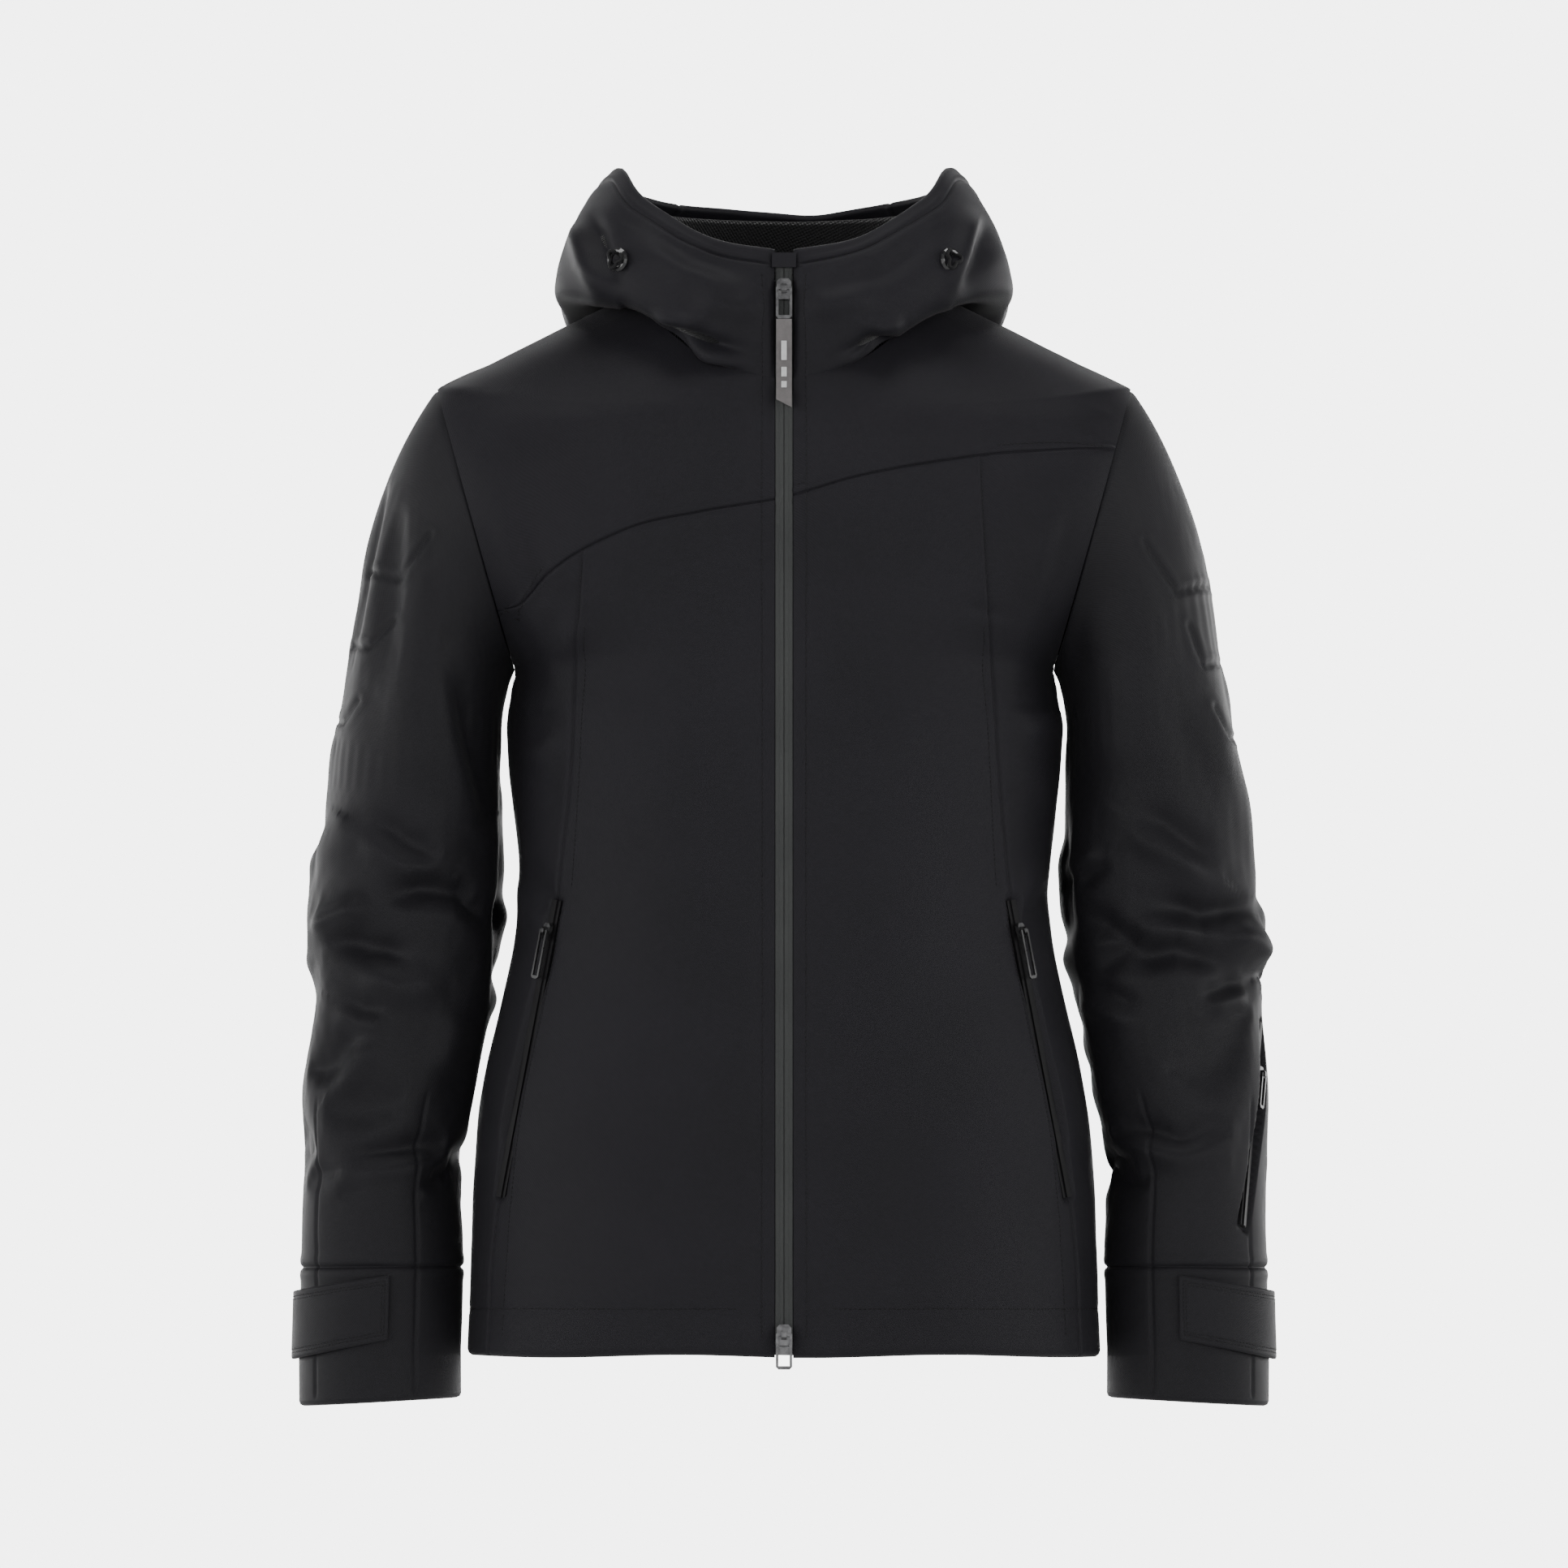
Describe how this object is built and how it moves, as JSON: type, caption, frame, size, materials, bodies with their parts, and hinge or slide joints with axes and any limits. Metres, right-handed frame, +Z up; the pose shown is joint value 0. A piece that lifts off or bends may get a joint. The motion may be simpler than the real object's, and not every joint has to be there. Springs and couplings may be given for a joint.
{
  "type": "ski jacket",
  "caption": "Insulated hooded ski jacket with a full front zip, hand pockets, a forearm pocket and adjustable cuffs.",
  "frame": {"origin": "middle of the hanger loop at the inside back of the neck", "axes": "+Z up, -Y out of the jacket's front, +X to the wearer's left"},
  "size_m": [0.6132, 0.3375, 0.7787],
  "materials": {
    "shell_fabric": "matt woven shell cloth with a slight sheen",
    "sleeve_fabric": "matt woven shell cloth with a slight sheen",
    "lining_fabric": "black brushed lining",
    "hook_tape": "hook and loop tape",
    "zip_tape": "coated zip tape",
    "dark_metal": "dark plated metal",
    "pull_rubber": "matt moulded pull",
    "gloss_trim": "gloss black",
    "cord": "shiny braided cord"
  },
  "bodies": {
    "jacket_body": {"front_panel_right": "shell_fabric", "side_panel_right": "shell_fabric", "front_yoke_right": "shell_fabric", "front_panel_left": "shell_fabric", "side_panel_left": "shell_fabric", "front_yoke_left": "shell_fabric", "back_panel": "shell_fabric", "back_yoke": "shell_fabric", "lining_left": "lining_fabric", "lining_right": "lining_fabric", "lining_back": "lining_fabric", "snow_skirt": "lining_fabric", "front_zip_right": "zip_tape", "front_zip_left": "zip_tape", "zip_end_box": "dark_metal", "wind_flap": "lining_fabric", "hood_side_left": "shell_fabric", "hood_side_right": "shell_fabric", "hood_centre": "shell_fabric", "hood_band_left": "shell_fabric", "hood_band_right": "shell_fabric", "inner_collar": "lining_fabric", "chin_guard": "shell_fabric", "hanger_loop": "lining_fabric", "pocket_zip_right": "zip_tape", "pocket_bag_right": "lining_fabric", "hood_eyelet_right": "gloss_trim", "hood_cord_right": "cord", "pocket_zip_left": "zip_tape", "pocket_bag_left": "lining_fabric", "hood_eyelet_left": "gloss_trim", "hood_cord_left": "cord"},
    "main_slider": {"main_slider": "dark_metal"},
    "main_pull": {"main_pull_link": "dark_metal", "main_pull_tab": "pull_rubber"},
    "lower_slider": {"lower_slider": "dark_metal"},
    "lower_pull": {"lower_pull": "dark_metal"},
    "pocket_slider_right": {"pocket_slider_right": "dark_metal"},
    "pocket_pull_right": {"pocket_pull_right": "cord"},
    "pocket_slider_left": {"pocket_slider_left": "dark_metal"},
    "pocket_pull_left": {"pocket_pull_left": "cord"},
    "upper_sleeve_right": {"upper_sleeve_outer_right": "sleeve_fabric", "upper_sleeve_inner_right": "sleeve_fabric", "elbow_panel_right": "sleeve_fabric"},
    "forearm_right": {"forearm_right": "sleeve_fabric", "cuff_right": "sleeve_fabric", "hook_patch_right": "hook_tape"},
    "cuff_tab_right": {"cuff_tab_right": "sleeve_fabric"},
    "upper_sleeve_left": {"upper_sleeve_outer_left": "sleeve_fabric", "upper_sleeve_inner_left": "sleeve_fabric", "elbow_panel_left": "sleeve_fabric"},
    "forearm_left": {"forearm_left": "sleeve_fabric", "cuff_left": "sleeve_fabric", "hook_patch_left": "hook_tape", "sleeve_pocket_zip": "zip_tape"},
    "cuff_tab_left": {"cuff_tab_left": "sleeve_fabric"},
    "sleeve_pocket_slider": {"sleeve_pocket_slider": "dark_metal"},
    "sleeve_pocket_pull": {"sleeve_pocket_pull": "dark_metal"}
  },
  "joints": [
    {"name": "main_slider_slide", "type": "slide", "parent": "jacket_body", "child": "main_slider", "axis": [0, -0.0518, -0.9987], "range_m": [0, 0.4]},
    {"name": "main_pull_swing", "type": "hinge", "parent": "main_slider", "child": "main_pull", "pos_m": [0, -0.15588, -0.01978], "axis": [-1, 0, 0], "range_deg": [0, 150]},
    {"name": "lower_slider_slide", "type": "slide", "parent": "jacket_body", "child": "lower_slider", "axis": [0, 0.0518, 0.9987], "range_m": [0, 0.15]},
    {"name": "lower_pull_swing", "type": "hinge", "parent": "lower_slider", "child": "lower_pull", "pos_m": [0, -0.18929, -0.66378], "axis": [-1, 0, 0], "range_deg": [0, 150]},
    {"name": "pocket_slider_right_slide", "type": "slide", "parent": "jacket_body", "child": "pocket_slider_right", "axis": [-0.1863, 0.035, -0.9819], "range_m": [0, 0.145]},
    {"name": "pocket_pull_right_swing", "type": "hinge", "parent": "pocket_slider_right", "child": "pocket_pull_right", "pos_m": [-0.14801, -0.13252, -0.41514], "axis": [-0.6346, 0.7587, 0.1475], "range_deg": [0, 150]},
    {"name": "pocket_slider_left_slide", "type": "slide", "parent": "jacket_body", "child": "pocket_slider_left", "axis": [0.1863, 0.035, -0.9819], "range_m": [0, 0.145]},
    {"name": "pocket_pull_left_swing", "type": "hinge", "parent": "pocket_slider_left", "child": "pocket_pull_left", "pos_m": [0.14801, -0.13252, -0.41514], "axis": [-0.6346, -0.7587, -0.1475], "range_deg": [0, 150]},
    {"name": "shoulder_right", "type": "hinge", "parent": "jacket_body", "child": "upper_sleeve_right", "pos_m": [-0.193, -0.0545, -0.16], "axis": [-0.9636, 0, -0.2672], "range_deg": [-25, 80]},
    {"name": "elbow_right", "type": "hinge", "parent": "upper_sleeve_right", "child": "forearm_right", "pos_m": [-0.23789, -0.0495, -0.404], "axis": [-1, 0, 0], "range_deg": [0, 85], "deforming": ["elbow_panel_right"]},
    {"name": "cuff_tab_right_peel", "type": "hinge", "parent": "forearm_right", "child": "cuff_tab_right", "pos_m": [-0.24378, -0.11434, -0.6546], "axis": [0, 0, 1], "range_deg": [0, 100]},
    {"name": "shoulder_left", "type": "hinge", "parent": "jacket_body", "child": "upper_sleeve_left", "pos_m": [0.193, -0.0545, -0.16], "axis": [-0.9636, 0, 0.2672], "range_deg": [-25, 80]},
    {"name": "elbow_left", "type": "hinge", "parent": "upper_sleeve_left", "child": "forearm_left", "pos_m": [0.23789, -0.0495, -0.404], "axis": [-1, 0, 0], "range_deg": [0, 85], "deforming": ["elbow_panel_left"]},
    {"name": "cuff_tab_left_peel", "type": "hinge", "parent": "forearm_left", "child": "cuff_tab_left", "pos_m": [0.24378, -0.11434, -0.6546], "axis": [0, 0, -1], "range_deg": [0, 100]},
    {"name": "sleeve_pocket_slider_slide", "type": "slide", "parent": "forearm_left", "child": "sleeve_pocket_slider", "axis": [-0.0953, -0.248, -0.964], "range_m": [0, 0.08]},
    {"name": "sleeve_pocket_pull_swing", "type": "hinge", "parent": "sleeve_pocket_slider", "child": "sleeve_pocket_pull", "pos_m": [0.29863, -0.07517, -0.50227], "axis": [-0.4282, -0.8641, 0.2647], "range_deg": [0, 150]}
  ]
}
